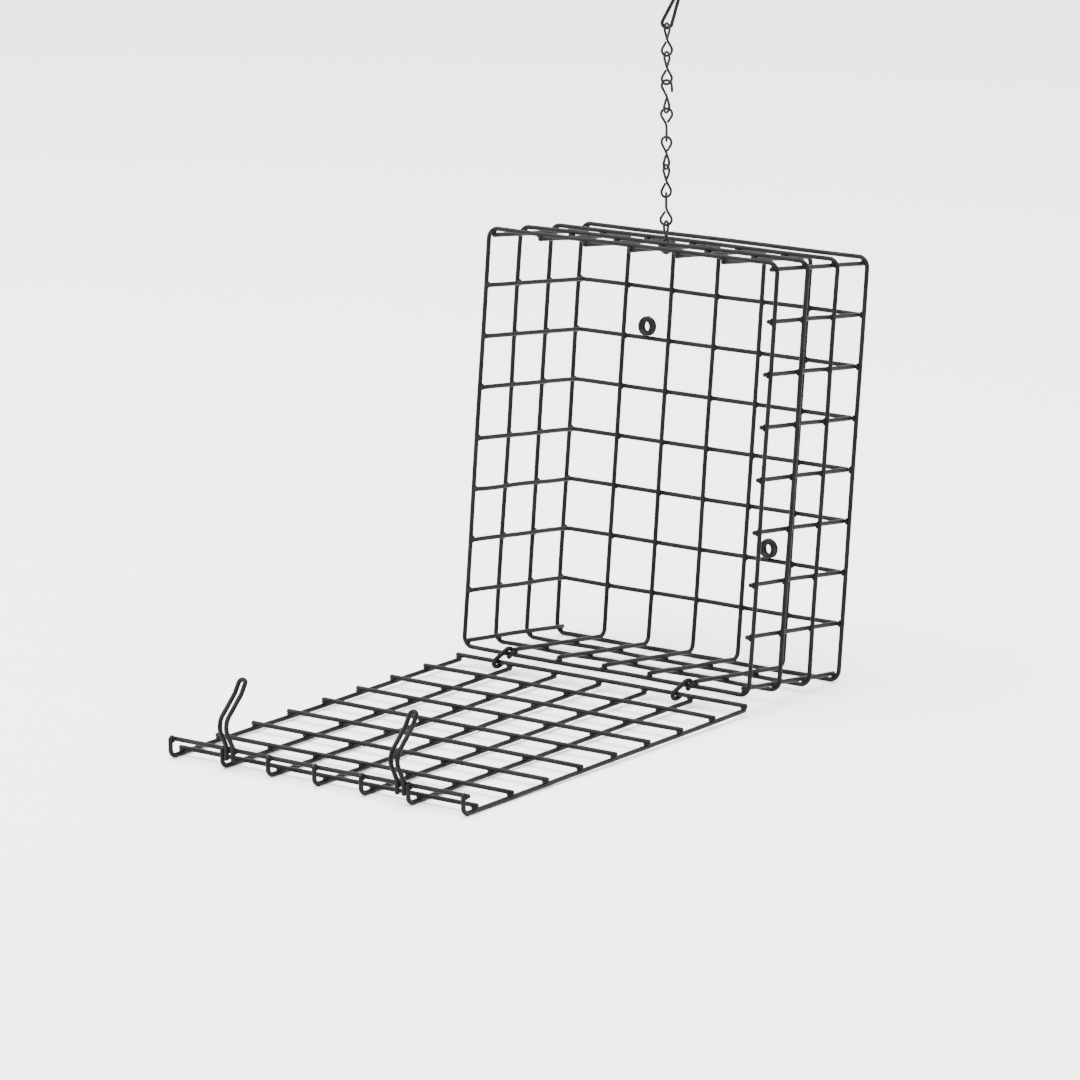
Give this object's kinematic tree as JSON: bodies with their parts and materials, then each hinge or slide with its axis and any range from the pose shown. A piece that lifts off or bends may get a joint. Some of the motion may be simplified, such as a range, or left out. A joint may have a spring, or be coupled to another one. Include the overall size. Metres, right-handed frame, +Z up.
{
  "type": "hanging bird feeder",
  "caption": "Hanging wire cage bird feeder with a drop-down wire door, spring catches, screw eyes on the back, a link chain and a hook.",
  "frame": {"origin": "bottom centre of the whole object's box, on the surface that it stands on", "axes": "+X right as seen from the door, +Y from the door towards the back of the cage, +Z up along the plumb chain"},
  "size_m": [0.1378, 0.2628, 0.2977],
  "materials": {
    "black_wire": "satin black powder coat",
    "chain_steel": "satin dark grey",
    "hook_steel": "satin black"
  },
  "bodies": {
    "cage": {"bottom_left_corner_wire": "black_wire", "bottom_right_corner_wire": "black_wire", "front_ring": "black_wire", "left_hinge_clip": "black_wire", "lower_screw_eye": "black_wire", "rear_ring": "black_wire", "right_hinge_clip": "black_wire", "row_wire_1": "black_wire", "row_wire_2": "black_wire", "row_wire_3": "black_wire", "row_wire_4": "black_wire", "row_wire_5": "black_wire", "row_wire_6": "black_wire", "row_wire_7": "black_wire", "second_ring": "black_wire", "third_ring": "black_wire", "top_left_corner_wire": "black_wire", "top_right_corner_wire": "black_wire", "upper_screw_eye": "black_wire", "upright_wire_1": "black_wire", "upright_wire_2": "black_wire", "upright_wire_3": "black_wire", "upright_wire_4": "black_wire", "upright_wire_5": "black_wire"},
    "door": {"door_cross_bar_1": "black_wire", "door_cross_bar_2": "black_wire", "door_cross_bar_3": "black_wire", "door_cross_bar_4": "black_wire", "door_cross_bar_5": "black_wire", "door_cross_bar_6": "black_wire", "door_cross_bar_7": "black_wire", "door_end_bar": "black_wire", "door_hinge_bar": "black_wire", "door_lip_bar": "black_wire", "door_long_wire_1": "black_wire", "door_long_wire_2": "black_wire", "door_long_wire_3": "black_wire", "door_long_wire_4": "black_wire", "door_long_wire_5": "black_wire", "door_long_wire_6": "black_wire", "door_long_wire_7": "black_wire"},
    "left_catch": {"left_catch": "black_wire"},
    "right_catch": {"right_catch": "black_wire"},
    "chain_link_1": {"chain_link_1": "chain_steel"},
    "chain_link_2": {"chain_link_2": "chain_steel"},
    "chain_link_3": {"chain_link_3": "chain_steel"},
    "chain_link_4": {"chain_link_4": "chain_steel"},
    "chain_link_5": {"chain_link_5": "chain_steel"},
    "chain_link_6": {"chain_link_6": "chain_steel"},
    "chain_link_7": {"chain_link_7": "chain_steel"},
    "chain_link_8": {"chain_link_8": "chain_steel"},
    "hook": {"hook": "hook_steel"}
  },
  "joints": [
    {"name": "door_hinge", "type": "hinge", "parent": "cage", "child": "door", "pos_m": [0, 0.04876, 0.00426], "axis": [-1, 0, 0], "range_deg": [-160, 96.46]},
    {"name": "left_catch_flex", "type": "hinge", "parent": "door", "child": "left_catch", "pos_m": [-0.0393, -0.12492, 0.00734], "axis": [1, 0, 0], "range_deg": [0, 8], "stiffness_Nm_per_rad": 0.3},
    {"name": "right_catch_flex", "type": "hinge", "parent": "door", "child": "right_catch", "pos_m": [0.0393, -0.12492, 0.00734], "axis": [1, 0, 0], "range_deg": [0, 8], "stiffness_Nm_per_rad": 0.3},
    {"name": "link_1_swing", "type": "hinge", "parent": "cage", "child": "chain_link_1", "pos_m": [0, 0.09204, 0.16637], "axis": [0, 0.9945, -0.1045], "range_deg": [-45, 45]},
    {"name": "link_2_swing", "type": "hinge", "parent": "chain_link_1", "child": "chain_link_2", "pos_m": [0, 0.09204, 0.17688], "axis": [0.225, -0.9744, 0], "range_deg": [-45, 45]},
    {"name": "link_3_swing", "type": "hinge", "parent": "chain_link_2", "child": "chain_link_3", "pos_m": [0, 0.09204, 0.18777], "axis": [-0.5878, 0.809, 0], "range_deg": [-45, 45]},
    {"name": "link_4_swing", "type": "hinge", "parent": "chain_link_3", "child": "chain_link_4", "pos_m": [0, 0.09204, 0.19867], "axis": [0.9135, -0.4067, 0], "range_deg": [-45, 45]},
    {"name": "link_5_swing", "type": "hinge", "parent": "chain_link_4", "child": "chain_link_5", "pos_m": [0, 0.09204, 0.20958], "axis": [-0.9945, -0.1045, 0], "range_deg": [-45, 45]},
    {"name": "link_6_swing", "type": "hinge", "parent": "chain_link_5", "child": "chain_link_6", "pos_m": [0, 0.09204, 0.22048], "axis": [0.809, 0.5878, 0], "range_deg": [-45, 45]},
    {"name": "link_7_swing", "type": "hinge", "parent": "chain_link_6", "child": "chain_link_7", "pos_m": [0, 0.09204, 0.23137], "axis": [-0.9903, -0.1392, 0], "range_deg": [-45, 45]},
    {"name": "link_8_swing", "type": "hinge", "parent": "chain_link_7", "child": "chain_link_8", "pos_m": [0, 0.09204, 0.24227], "axis": [0.8829, -0.4695, 0], "range_deg": [-45, 45]},
    {"name": "hook_swing", "type": "hinge", "parent": "chain_link_8", "child": "hook", "pos_m": [0, 0.09204, 0.25317], "axis": [-0.8746, 0.4848, 0], "range_deg": [-45, 45]}
  ]
}
